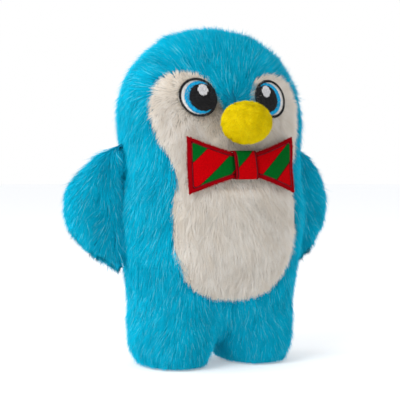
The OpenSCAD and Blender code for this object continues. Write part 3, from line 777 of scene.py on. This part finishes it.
for side, seed in (("right", 71), ("left", 81)):
    surface = Surface(flipperSkins[side])
    nodes = [side + "_flipper_front", side + "_flipper_back"]
    region = faceRegions(flipperSkins[side], nodes)
    hinge = Vector(joints[side + "_flipper_swing"]["pos_m"])
    points = ownedSamples(surface, nodes, flipperLook["perSquareMm"], seed + 5)
    pieces = []
    for k, node in enumerate(nodes):
        name = side + ("FlipperFront", "FlipperBack")[k]
        piece = regionPiece(name + "Backing", flipperSkins[side], region, k, shadedBlueBacking, None, node)
        pieces.append(piece)
        pieces.extend(makePile(name + "Pile", points[node], surface, flipperFlow, fullLength, blueFur,
                               None, seed + k, flipperLook))
    filling = flipperSkins[side].copy()
    filling.data = flipperSkins[side].data.copy()
    filling.name = side + "FlipperFilling"
    bpy.context.scene.collection.objects.link(filling)
    sunkIn(filling, flipperSkin["fillingDepth"], rounds=3)
    co = vertexArray(filling.data)
    middle = (co.min(0) + co.max(0)) / 2
    co[:, 1:] = middle[1:] + (co[:, 1:] - middle[1:]) * flipperSkin["fillingShare"]
    co[:, 0] = np.sign(hinge.x) * np.maximum(np.abs(co[:, 0]), abs(hinge.x) + 1 * mm)
    setVertices(filling.data, co)
    filling.data.materials.append(fibreFill)
    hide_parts(side + "_flipper_stuffing")
    pieces.append(filling)
    for piece in pieces:
        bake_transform(piece)
    bpy.data.objects.remove(flipperSkins[side])
print("pile planted")


# embroidered eyes

eyeLook = {
    "lineWidth": 1.8 * mm, "irisRadius": 11.7 * mm, "irisIn": 2.0 * mm, "pupilRadius": 9.9 * mm, "pupilIn": 3.6 * mm,
    "shineRadius": 3.9 * mm, "shineRise": 5.4 * mm, "height": 3.6 * mm, "layer": 0.4 * mm,
    "thread": 0.42 * mm, "pitch": 0.336 * mm, "stitch": 3.6 * mm, "skirt": 2.2 * mm,
    "patchInset": 1.7 * mm, "whiteInset": 1.1 * mm, "patchThickness": 0.5 * mm, "patchSteps": 8,
}


def facePoints(x, z, height):  # points over the skin of the face, from their place in the front view
    hits = [torsoSurface.tree.ray_cast((a, -1, b), (0, 1, 0)) for a, b in zip(x.tolist(), z.tolist())]
    place = np.array([h[0] for h in hits])
    normal = torsoSurface.drop(place)[1]
    place[:, 1] -= height / np.maximum(-normal[:, 1], 0.4)
    return place, normal


def eyeStitches(name, x, z, angle, length, height, material, seed):  # threads laid on the face
    rng = np.random.default_rng(seed)
    count = len(x)
    angle = angle + 0.05 * rng.normal(size=count)
    length = length * rng.uniform(0.85, 1.15, count)
    ends = []
    for k in (-0.5, 0, 0.5):
        ends.append(facePoints(x + k * length * np.cos(angle), z + k * length * np.sin(angle),
                               height + 0.06 * mm * rng.normal(size=count))[0])
    normal = facePoints(x, z, 0)[1]
    points, faces = stitchShape()
    t = np.clip(points[:, 2], 0, 1)[None, :, None]
    spine = ends[0][:, None] * (1 - t) + ends[2][:, None] * t
    spine += (ends[1] - (ends[0] + ends[2]) / 2)[:, None] * 4 * t * (1 - t)
    side = unit(np.cross(normal, ends[2] - ends[0]))
    width = eyeLook["thread"] * rng.uniform(0.85, 1.15, count)
    axes = np.stack([side * width[:, None], normal * 0.8 * width[:, None]], axis=1)
    place = aroundSpine(points, spine, axes)
    strand = np.ones((count, len(points), 4))
    strand[:, :, 0] = points[:, 2]
    # painted shade: each eye thread is darker towards both of its ends
    strand[:, :, 1] = (rng.random(count)[:, None] * 0.7 + 0.3) * (1 - 0.5 * np.abs(2 * points[:, 2] - 1) ** 4)
    obj = repeated(name, (points, faces), place, strand)
    obj.data.materials.append(material)
    return obj


def discRows(middle, radius, angle, seed):  # places of threads in brick rows that fill a disc
    rng = np.random.default_rng(seed)
    step, pitch = min(eyeLook["stitch"], 0.7 * radius), eyeLook["pitch"]
    rows = []
    for k in range(-int(radius / pitch), int(radius / pitch) + 1):
        v = k * pitch
        half = math.sqrt(max(radius ** 2 - v ** 2, 0))
        u = np.arange(-half + step * (0.2 + 0.6 * rng.random()), half - 0.35 * step, step)
        u = np.concatenate([[-half + 0.45 * step], u, [half - 0.45 * step]]) if half > step else np.zeros(1)
        rows.append(np.stack([u, np.full(len(u), v)], axis=1))
    uv = np.concatenate(rows)
    c, d = math.cos(angle), math.sin(angle)
    return middle[0] + uv[:, 0] * c - uv[:, 1] * d, middle[1] + uv[:, 0] * d + uv[:, 1] * c


def ringRows(middle, radius):  # threads across a ring, side by side
    count = int(2 * math.pi * radius / eyeLook["pitch"])
    turn = np.arange(count) * 2 * math.pi / count
    return middle[0] + radius * np.cos(turn), middle[1] + radius * np.sin(turn), turn


def patchBase(name, middle, radius, height, skirt, material):  # the closed patch under the threads
    bm = bmesh.new()
    steps = eyeLook["patchSteps"]
    line = [bm.verts.new((radius * k / steps, 0, 0)) for k in range(steps + 1)]
    line.append(bm.verts.new((radius + 0.4 * mm, 0, -skirt)))
    edges = [bm.edges.new(line[k:k + 2]) for k in range(len(line) - 1)]
    bmesh.ops.spin(bm, geom=line + edges, angle=2 * math.pi, steps=40, axis=(0, 0, 1), use_merge=True)
    bmesh.ops.remove_doubles(bm, verts=bm.verts, dist=1e-6)
    bmesh.ops.recalc_face_normals(bm, faces=bm.faces)
    co = np.array([v.co[:] for v in bm.verts])
    place = facePoints(middle[0] + co[:, 0], middle[1] + co[:, 1], height + co[:, 2])[0]
    for vert, spot in zip(bm.verts, place):
        vert.co = spot
    facingForward(bm)
    bmesh.ops.solidify(bm, geom=bm.faces[:], thickness=eyeLook["patchThickness"])
    smoothFaces(bm)
    obj = meshObject(name, bm)
    obj.data.materials.append(material)
    return obj


whitePatch = clothMaterial("whitePatch", (0.55, 0.53, 0.5), (0.75, 0.73, 0.7), 1500, 0.5)
blackPatch = clothMaterial("blackPatch", (0.003, 0.003, 0.004), (0.015, 0.015, 0.016), 1500, 0.5)


def makeEye(side, seed):
    inward = -math.copysign(1, eyeMid[side].x)
    middle = (eyeMid[side].x, eyeMid[side].z)
    iris = (middle[0] + inward * eyeLook["irisIn"], middle[1])
    pupil = (middle[0] + inward * eyeLook["pupilIn"], middle[1])
    shine = (pupil[0], pupil[1] + eyeLook["shineRise"])
    height, layer, line = eyeLook["height"], eyeLook["layer"], eyeLook["lineWidth"]
    patches = (
        ("EyePatch", middle, eyeRadius - eyeLook["patchInset"], height, eyeLook["skirt"], whitePatch, "white"),
        ("PupilPatch", pupil, eyeLook["pupilRadius"] - 0.5 * mm, height + 3 * layer, 3 * layer, blackPatch, "pupil"),
    )
    for name, *shape, slot in patches:
        base = patchBase(side + name, *shape)
        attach(base, "torso")
    full = eyeLook["stitch"]
    rows = {
        "White": (*discRows(middle, eyeRadius - eyeLook["whiteInset"], 0.25, seed), 0.25, full, 1, "white", "white"),
        "Iris": (*discRows(iris, eyeLook["irisRadius"], 1.2, seed + 1), 1.2, full, 2, "blue", "blue"),
        "Pupil": (*discRows(pupil, eyeLook["pupilRadius"], 0.1, seed + 2), 0.1, full, 3.2, "black", "pupil"),
        "Shine": (*discRows(shine, eyeLook["shineRadius"], 1.5, seed + 3), 1.5, eyeLook["shineRadius"] * 0.8, 4.2,
                  "shine", "shine"),
        "Outline": (*ringRows(middle, eyeRadius - line / 2), line * 1.15, 3, "black", "black"),
    }
    for part, (x, z, angle, length, level, thread, slot) in rows.items():
        obj = eyeStitches(side + "Eye" + part, x, z, angle, length, height + level * layer, threads[thread], seed + 7)
        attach(obj, "torso")
        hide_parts(side + "_eye_" + part.lower())


for side, seed in (("right", 101), ("left", 131)):
    makeEye(side, seed)
print("eyes embroidered")


# beak

beakLook = {
    **pile, "perSquareMm": 5.5, "length": 2.2 * mm, "width": 0.42 * mm, "thickness": 0.4 * mm,
    "tipHeight": 0.85 * mm, "tipSpread": 0.3 * mm, "rootDepth": 0.2 * mm, "clumpSize": 3.5 * mm,
    "clumpPull": 0.5 * mm, "clumpLift": 0.15 * mm, "wave": 9 * mm, "waveTurn": 1.6, "lockTurn": 0.6,
    "flyawayHeight": 1.0 * mm, "hug": 0.6, "eyeLift": 0, "shadeSpread": 0.4, "softness": 0.5,
    "voxel": 1.6 * mm, "sunk": 0.7 * mm,
}


def beakFlow(root):
    return np.tile((0.0, 0.4, -1.0), (len(root), 1))


def makeBeak():
    obj = joinedCopy("beakSkin", ["beak_cover", "beak_stuffing"])
    remeshed(obj, beakLook["voxel"])
    sunkIn(obj, beakLook["sunk"], rounds=4)
    bm = opened(obj)
    smoothFaces(bm)
    bm.to_mesh(obj.data)
    bm.free()
    obj.data.materials.append(shadedYellowBacking)
    surface = Surface(obj)
    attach(obj, "torso")
    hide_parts("beak_cover", "beak_stuffing")
    points = scattered(surface.points[surface.faces], beakLook["perSquareMm"], np.random.default_rng(200))[0]
    makePile("beakPile", points, surface, beakFlow, fullLength, yellowPlush, "torso", 201, beakLook)


makeBeak()
print("beak made")


# bow tie

bowLook = {
    "columns": 34, "rows": 24, "thickness": 0.8 * mm, "tuck": 3.4 * mm, "wave": 0.5 * mm, "off": 1.4 * mm,
    "border": 2.2 * mm, "seam": 0.9 * mm, "flare": 1.15, "slant": 1.114,
    "stripes": (-41.7, -20.0, -5.3, 20.4, 37.2, 61.0), "overlap": 0.7 * mm, "stripeReach": 75 * mm,
    "red": (0.46, 0.0, 0.002), "green": (0.0, 0.105, 0.012), "darkRed": (0.06, 0.0, 0.002),
    "borderRed": (0.27, 0.0, 0.003), "edgeScale": 10 * mm, "liningDrop": 1.1 * mm, "threadDrop": -0.1 * mm,
    "thread": 0.5 * mm, "stitch": 2.4 * mm, "fuzz": 1.5 * mm, "fuzzGap": 0.16 * mm,
    "knotWrap": 5 * mm, "knotColumns": 14, "knotRows": 26, "crown": 1.7 * mm,
}
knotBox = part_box("bow_knot_cloth")


def multiplyAdd(tree, value, factor, extra):
    node = tree.nodes.new("ShaderNodeMath")
    node.operation = "MULTIPLY_ADD"
    tree.links.new(value, node.inputs[0])
    node.inputs[1].default_value = factor
    tree.links.new(extra, node.inputs[2])
    return node.outputs["Value"]


def printedCloth():  # slanting red and green stripes inside a red border with a dark seam
    material, tree, shader = newMaterial("printedCloth", 0.95, 0.02, 0.5, (0.6, 0.2, 0.2))
    shader.inputs["Specular IOR Level"].default_value = 0.03
    place = tree.nodes.new("ShaderNodeTexCoord")
    split = tree.nodes.new("ShaderNodeSeparateXYZ")
    tree.links.new(place.outputs["Object"], split.inputs["Vector"])
    noise = noisy(tree, place, 1400, 3)
    across = multiplyAdd(tree, split.outputs["Z"], -bowLook["slant"], split.outputs["X"])
    across = multiplyAdd(tree, noise, 1.6 * mm, across)
    reach = bowLook["stripeReach"]
    middle = -bowLook["slant"] * bowMid + 0.8 * mm
    spread = tree.nodes.new("ShaderNodeMapRange")
    spread.inputs["From Min"].default_value = middle - reach
    spread.inputs["From Max"].default_value = middle + reach
    tree.links.new(across, spread.inputs["Value"])
    overlap = bowLook["overlap"] / reach / 4
    stops = [(0.0, bowLook["green"])]
    for k, edge in enumerate(bowLook["stripes"]):
        there = 0.5 + edge * mm / reach / 2
        stops.append((there - overlap, bowLook["darkRed"]))
        stops.append((there + overlap, bowLook["green" if k % 2 else "red"]))
    colour = ramped(tree, spread.outputs["Result"], stops, "CONSTANT")
    edge = tree.nodes.new("ShaderNodeAttribute")
    edge.attribute_name = "edge"
    first, last = ((bowLook["border"] + k * bowLook["seam"]) / bowLook["edgeScale"] for k in (0, 1))
    zones = ramped(tree, edge.outputs["Fac"], [(0.0, (1, 0, 0)), (first, (0, 1, 0)), (last, (0, 0, 1))], "CONSTANT")
    zone = tree.nodes.new("ShaderNodeSeparateColor")
    tree.links.new(zones, zone.inputs["Color"])
    for channel, tint in (("Red", bowLook["borderRed"]), ("Green", bowLook["darkRed"])):
        colour = mixed(tree, colour, tint, zone.outputs[channel])
    shade = ramped(tree, noise, [(0.3, (0.72, 0.72, 0.72)), (0.7, (1.1, 1.1, 1.1))])
    tree.links.new(mixed(tree, colour, shade, blend="MULTIPLY"), shader.inputs["Base Color"])
    roughened(tree, shader, noise, 0.5, 0.3 * mm)
    return material


bowPrint = printedCloth()
bowLining = clothMaterial("bowLining", (0.12, 0.0, 0.003), (0.24, 0.002, 0.008), 1400, 0.6)


def frontOf(node):  # distance forward of a CAD cloth's front face, for places in the front view
    tree = nodeTree(node)

    def height(x, z):
        hits = [tree.ray_cast((a, -1, b), (0, 1, 0))[0] for a, b in zip(x.tolist(), z.tolist())]
        return np.array([h.y if h else np.nan for h in hits])
    return height


def clothSheet(name, spot, material, slot, columns, rows):  # a grid laid out by spot(u, v), each 0 to 1
    bm = bmesh.new()
    bmesh.ops.create_grid(bm, x_segments=columns, y_segments=rows, size=0.5)
    flat = np.array([v.co[:2] for v in bm.verts]) + 0.5
    place, edge = spot(flat[:, 0], flat[:, 1])
    for vert, there in zip(bm.verts, place):
        vert.co = there
    facingForward(bm)
    area = sum(face.calc_area() for face in bm.faces)
    smoothFaces(bm)
    obj = meshObject(name, bm)
    inwards = (edge / bowLook["edgeScale"]).astype(np.float32)
    obj.data.attributes.new("edge", "FLOAT", "POINT").data.foreach_set("value", inwards)
    solid = obj.modifiers.new("thickness", "SOLIDIFY")
    solid.thickness = bowLook["thickness"]
    solid.offset = -1
    bakeModifiers(obj)
    obj.data.materials.append(material)
    return obj, area


def distances(path):  # along a path to each of its points
    return np.concatenate([[0], np.cumsum(np.linalg.norm(np.diff(path, axis=0), axis=1))])


def rowsAt(distance, along, rows):
    return np.stack([np.interp(distance, along, rows[:, k]) for k in range(3)], axis=1)


def seamThreads(name, path, seed):  # a run of short overlapping threads along a line on the cloth
    rng = np.random.default_rng(seed)
    along = distances(path)
    steps = np.arange(0, along[-1], bowLook["stitch"] * 0.8)
    first, last = (rowsAt(d, along, path) for d in (steps, np.minimum(steps + bowLook["stitch"], along[-1])))
    points, faces = stitchShape()
    t = np.clip(points[:, 2], 0, 1)[None, :, None]
    spine = first[:, None] * (1 - t) + last[:, None] * t
    way = unit(last - first + 1e-9)
    side = unit(np.cross((0.0, -1.0, 0.0), way))
    axes = np.stack([side * bowLook["thread"] * 1.5, np.cross(way, side) * bowLook["thread"]], axis=1)
    place = aroundSpine(points, spine, axes)
    strand = np.ones((len(first), len(points), 4))
    strand[:, :, 0] = points[:, 2]
    strand[:, :, 1] = rng.random(len(first))[:, None]
    obj = repeated(name, (points, faces), place, strand)
    obj.data.materials.append(threads["red"])
    return obj


def edgeFuzz(name, path, outward, seed):  # short raw threads along a cut edge
    rng = np.random.default_rng(seed)
    along = distances(path)
    d = np.sort(rng.uniform(0, along[-1], int(along[-1] / bowLook["fuzzGap"])))
    root = rowsAt(d, along, path)
    way = unit(rowsAt(d, along, outward) + 0.55 * rng.normal(size=root.shape))
    length = bowLook["fuzz"] * rng.uniform(0.4, 1.2, len(d))
    side = unit(np.cross(way, rng.normal(size=root.shape)))
    points, faces = tuftShape()
    tip = (points[:, 2] > 0.5).astype(float)[None, :, None]
    spine = (root - way * 0.4 * mm)[:, None] * (1 - tip) + (root + way * length[:, None])[:, None] * tip
    axes = np.stack([side * 0.4 * mm, np.cross(way, side) * 0.4 * mm], axis=1)
    place = aroundSpine(points, spine, axes)
    strand = np.ones((len(d), len(points), 4))
    strand[:, :, 1] = rng.random(len(d))[:, None]
    obj = repeated(name, (points, faces), place, strand)
    obj.data.materials.append(fuzzRed)
    return obj


fuzzRed = threadMaterial("fuzzRed", (0.28, 0.0, 0.003), (0.5, 0.004, 0.01))


def makeFlap(side, sign, seed):
    tree = frontOf("bow_" + side + "_cloth")
    co = vertexArray(frame["nodes"]["bow_" + side + "_cloth"].data)
    far = np.abs(co[:, 0]).max() - 0.05 * mm
    near = np.abs(co[:, 0]).min() + 0.05 * mm
    waist, end = (np.abs(co[np.abs(np.abs(co[:, 0]) - x) < 1 * mm, 2] - bowMid).max() for x in (near, far))

    def halfHeight(x):
        return waist + (end - waist) * np.clip((x - near) / (far - near), 0, 1) ** bowLook["flare"]

    def spot(u, v, drop=0.0, inset=0.0):
        x = near - bowLook["tuck"] + (far - inset - near + bowLook["tuck"]) * u
        tall = halfHeight(x) - inset
        z = bowMid + (2 * v - 1) * tall
        y = tree(sign * np.clip(x, near + 0.3 * mm, far - 0.3 * mm), bowMid + 0.9 * (z - bowMid))
        y = np.where(np.isnan(y), np.nanmean(y), y)
        point = np.stack([sign * x, y, z], axis=1)
        lifted = bowLook["off"] * smoothStep(x, near, far) ** 2
        waves = bowLook["wave"] * ripple(point * (1, 0, 1), 22 * mm, 7) * smoothStep(x, near, far)
        point[:, 1] -= lifted + waves - drop
        point[:, 1] += 1.6 * mm * (1 - smoothStep(x, near - bowLook["tuck"], near + 1 * mm))
        edge = np.minimum(far - x, tall + inset - np.abs(z - bowMid))
        return point, np.maximum(edge, 0)

    grid = bowLook["columns"], bowLook["rows"]
    cloth, area = clothSheet(side + "FlapCloth", spot, bowPrint, "bow_print", *grid)
    lining, liningArea = clothSheet(side + "FlapLining", lambda u, v: spot(u, v, bowLook["liningDrop"]), bowLining,
                                    "bow_backing", *grid)
    lineInset = bowLook["border"] + bowLook["seam"] / 2
    u, v = np.linspace(0.1, 1, 30), np.linspace(0, 1, 24)
    sides = ((u, 0 * u), (0 * v + 1, v), (u[::-1], 0 * u + 1))
    path = np.concatenate([spot(*line, bowLook["threadDrop"], lineInset)[0] for line in sides])
    seam = seamThreads(side + "FlapStitching", path, seed)
    rim = np.concatenate([spot(*line)[0] for line in sides])
    ways = (0.0, -0.1, -1.0), (sign * 1.0, -0.1, 0.0), (0.0, -0.1, 1.0)
    outward = np.concatenate([np.tile(way, (len(line[0]), 1)) for way, line in zip(ways, sides)])
    fuzz = edgeFuzz(side + "FlapFray", rim + np.array([0, 0.5 * mm, 0]), outward, seed + 1)
    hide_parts("bow_" + side + "_cloth")
    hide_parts("bow_" + side + "_backing")
    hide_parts("bow_" + side + "_stitching")
    for piece in (cloth, lining, seam, fuzz):
        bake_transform(piece)


def makeKnot(seed):
    tree = frontOf("bow_knot_cloth")
    wide = knotBox[1].x + 0.8 * mm
    tall = (knotBox[1].z - knotBox[0].z) / 2 + 0.6 * mm
    wrap = bowLook["knotWrap"]

    def spot(u, v, drop=0.0, inset=0.0):
        x = (2 * u - 1) * (wide - inset)
        arc = (2 * v - 1) * (tall + wrap - inset)
        over = np.maximum(np.abs(arc) - tall, 0)
        z = bowMid + np.sign(arc) * np.minimum(np.abs(arc), tall)
        y = tree(np.clip(x, -knotBox[1].x + 0.4 * mm, knotBox[1].x - 0.4 * mm),
                 np.clip(z, knotBox[0].z + 0.5 * mm, knotBox[1].z - 0.5 * mm))
        y = np.where(np.isnan(y), np.nanmean(y), y)
        crown = bowLook["crown"] * np.clip(1 - ((z - bowMid) / tall) ** 4, 0, 1)
        crown += 0.5 * mm * (1 - (x / wide) ** 2)
        y = y - crown - 0.5 * mm + over + drop
        return np.stack([x, y, z], axis=1), np.maximum(wide - np.abs(x) + 1.6 * mm, 0)

    grid = bowLook["knotColumns"], bowLook["knotRows"]
    cloth, area = clothSheet("knotCloth", spot, bowPrint, "bow_print", *grid)
    lining, liningArea = clothSheet("knotLining", lambda u, v: spot(u, v, bowLook["liningDrop"]), bowLining,
                                    "bow_backing", *grid)
    v = np.linspace(0.12, 0.88, 26)
    seams = []
    for sign in (-1, 1):
        path = spot(0.5 + sign * 0.42 + 0 * v, v, bowLook["threadDrop"])[0]
        seams.append(seamThreads("knotStitching" + ("Right", "", "Left")[sign + 1], path, seed + sign))
    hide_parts("bow_knot_cloth")
    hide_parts("bow_knot_backing")
    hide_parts("bow_knot_stitching")
    for piece in (cloth, lining, *seams):
        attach(piece, "torso")


for side, sign, seed in (("right", -1, 301), ("left", 1, 311)):
    makeFlap(side, sign, seed)
makeKnot(321)
print("bow tie sewn")

for node in frame["nodes"]:
    if "stuffing" in node:
        obj = frame["nodes"][node]
        obj.data.materials.clear()
        obj.data.materials.append(fibreFill)
